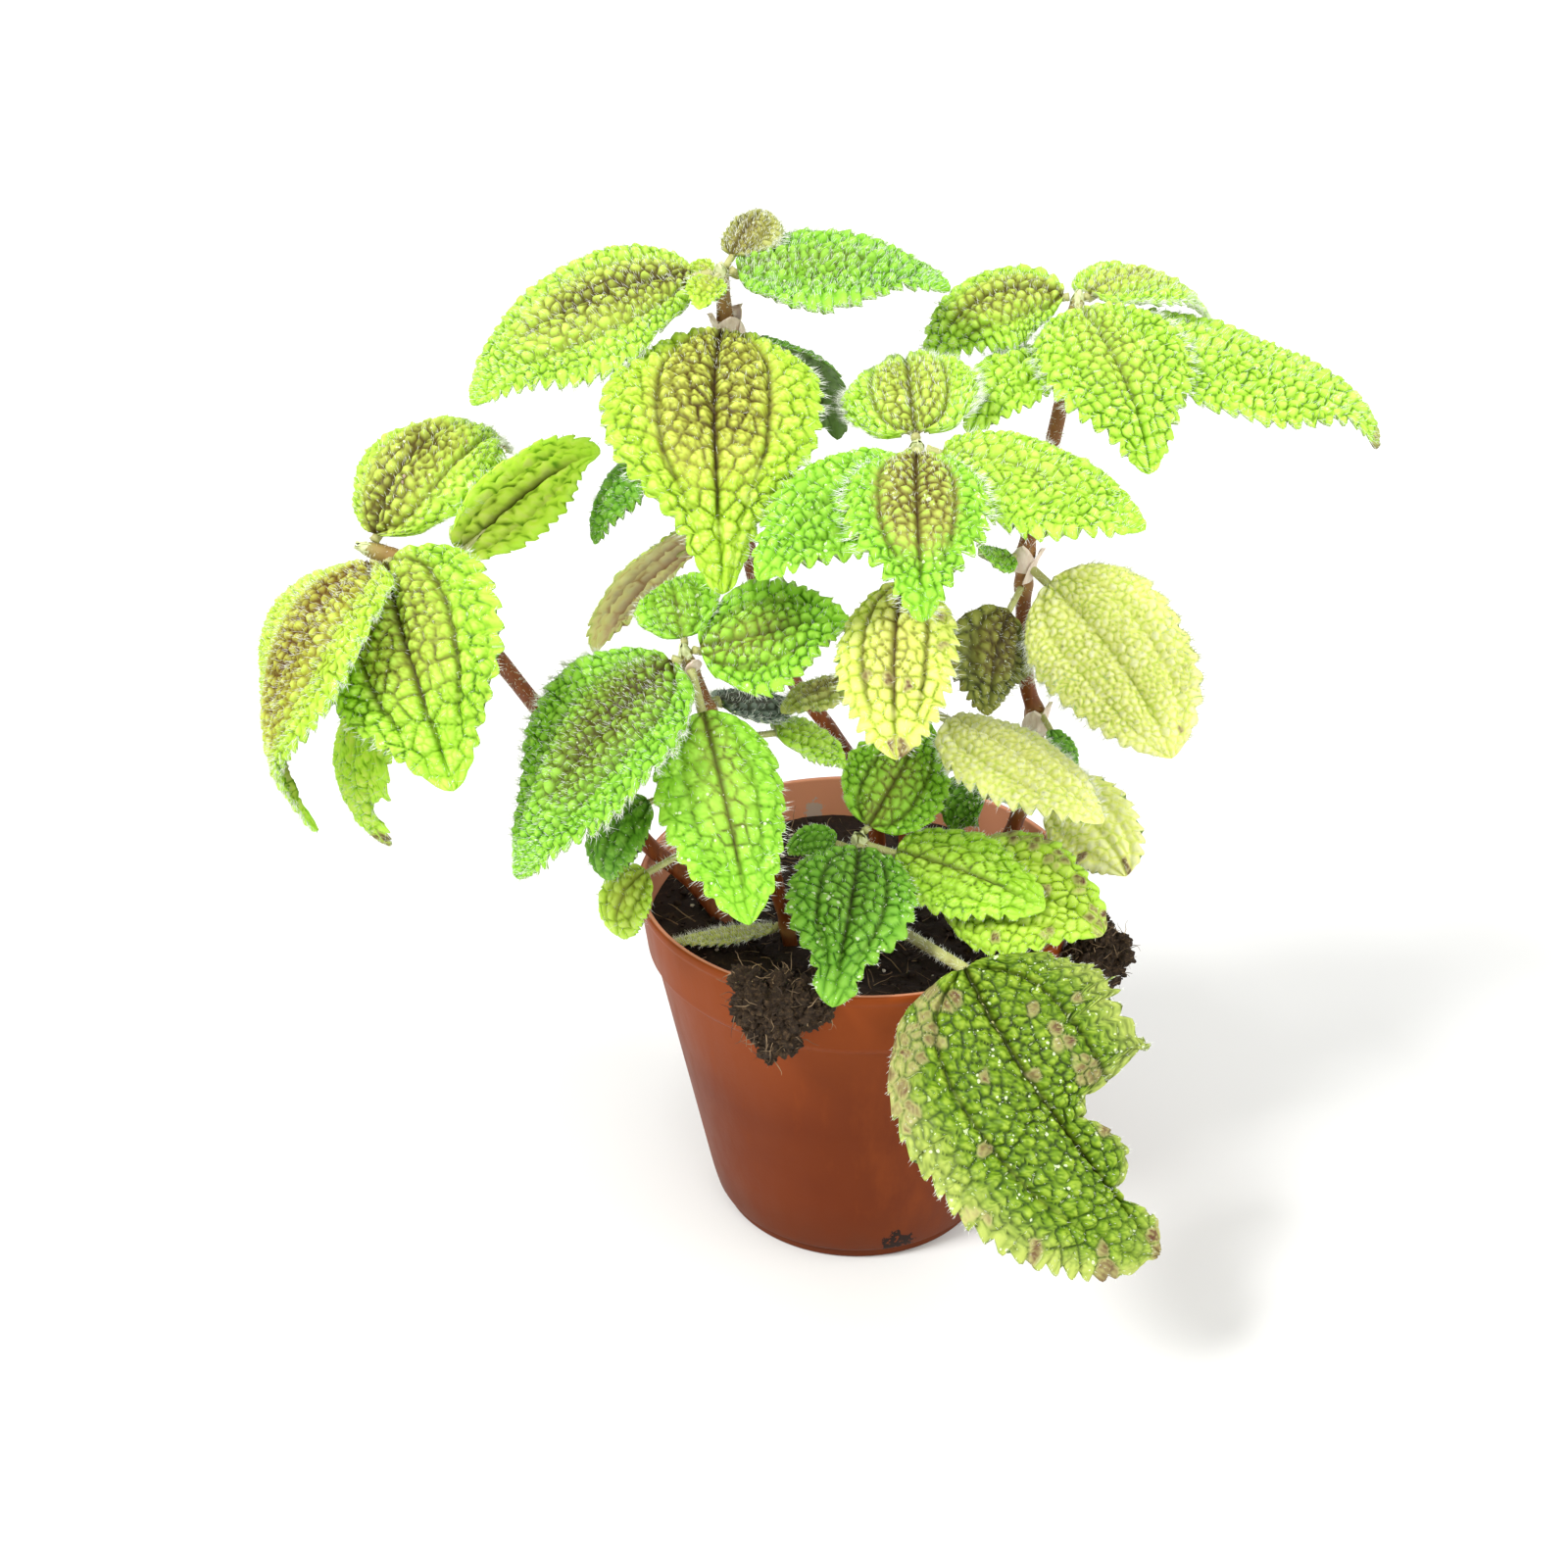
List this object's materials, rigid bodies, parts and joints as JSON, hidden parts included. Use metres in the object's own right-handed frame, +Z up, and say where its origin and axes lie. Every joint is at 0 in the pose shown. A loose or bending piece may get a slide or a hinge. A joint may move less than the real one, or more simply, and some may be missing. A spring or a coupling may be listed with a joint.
{
  "type": "potted plant",
  "caption": "Bushy pilea with deeply quilted, toothed lime-green leaves on brown stems, one old leaf hanging outside, in a round terracotta-coloured plastic nursery pot with a rim band.",
  "frame": {"origin": "centre of the pot's base, on the surface that it stands on", "axes": "+Z up; the plant's front, with the old hanging leaf, faces -Y; +X is to the right seen from the front"},
  "size_m": [0.2705, 0.1674, 0.2722],
  "materials": {
    "pot_plastic": "terracotta-brown moulded plastic, satin, with fine scuffs and splashes of dried soil",
    "peat": "dark moist peat compost, matted fibres, matte",
    "stem_skin": "red-brown fleshy stems with fine pale hairs, slightly shiny",
    "leaf_lime": "lime-green quilted blade with brown veins and soft white hairs",
    "leaf_green": "mid-green quilted blade with brown veins and soft white hairs",
    "leaf_deep": "dark green quilted blade, shaded and slightly shiny",
    "leaf_pale": "pale yellow-green blade, finely quilted"
  },
  "bodies": {
    "root": {"pot": "pot_plastic", "soil": "peat", "peat_clump_front": "peat", "peat_clump_right": "peat", "stem_a": "stem_skin", "stem_b": "stem_skin", "stem_c": "stem_skin", "stem_d": "stem_skin", "stem_e": "stem_skin", "stem_f": "stem_skin", "leaf_a1": "leaf_lime", "leaf_a2": "leaf_lime", "leaf_a3": "leaf_lime", "leaf_a4": "leaf_lime", "leaf_a5": "leaf_lime", "leaf_b1": "leaf_green", "leaf_b2": "leaf_green", "leaf_b3": "leaf_lime", "leaf_b4": "leaf_lime", "leaf_b5": "leaf_deep", "leaf_b6": "leaf_deep", "leaf_b7": "leaf_pale", "leaf_b8": "leaf_pale", "leaf_b9": "leaf_green", "leaf_c1": "leaf_green", "leaf_c2": "leaf_lime", "leaf_c3": "leaf_lime", "leaf_c4": "leaf_green", "leaf_c5": "leaf_pale", "leaf_c6": "leaf_green", "leaf_c7": "leaf_pale", "leaf_d1": "leaf_lime", "leaf_d2": "leaf_lime", "leaf_d3": "leaf_lime", "leaf_d4": "leaf_lime", "leaf_d5": "leaf_lime", "leaf_d6": "leaf_pale", "leaf_d7": "leaf_green", "leaf_d8": "leaf_deep", "leaf_d9": "leaf_deep", "leaf_d10": "leaf_pale", "leaf_d11": "leaf_deep", "leaf_e1": "leaf_green", "leaf_e2": "leaf_lime", "leaf_e3": "leaf_green", "leaf_e4": "leaf_green", "leaf_e5": "leaf_lime", "leaf_e6": "leaf_deep", "leaf_e7": "leaf_pale", "leaf_e8": "leaf_deep", "leaf_e9": "leaf_pale", "leaf_f1": "leaf_deep", "leaf_f2": "leaf_deep", "leaf_f3": "leaf_green", "leaf_f4": "leaf_deep", "leaf_f5": "leaf_green", "leaf_f6": "leaf_lime"}
  },
  "joints": []
}
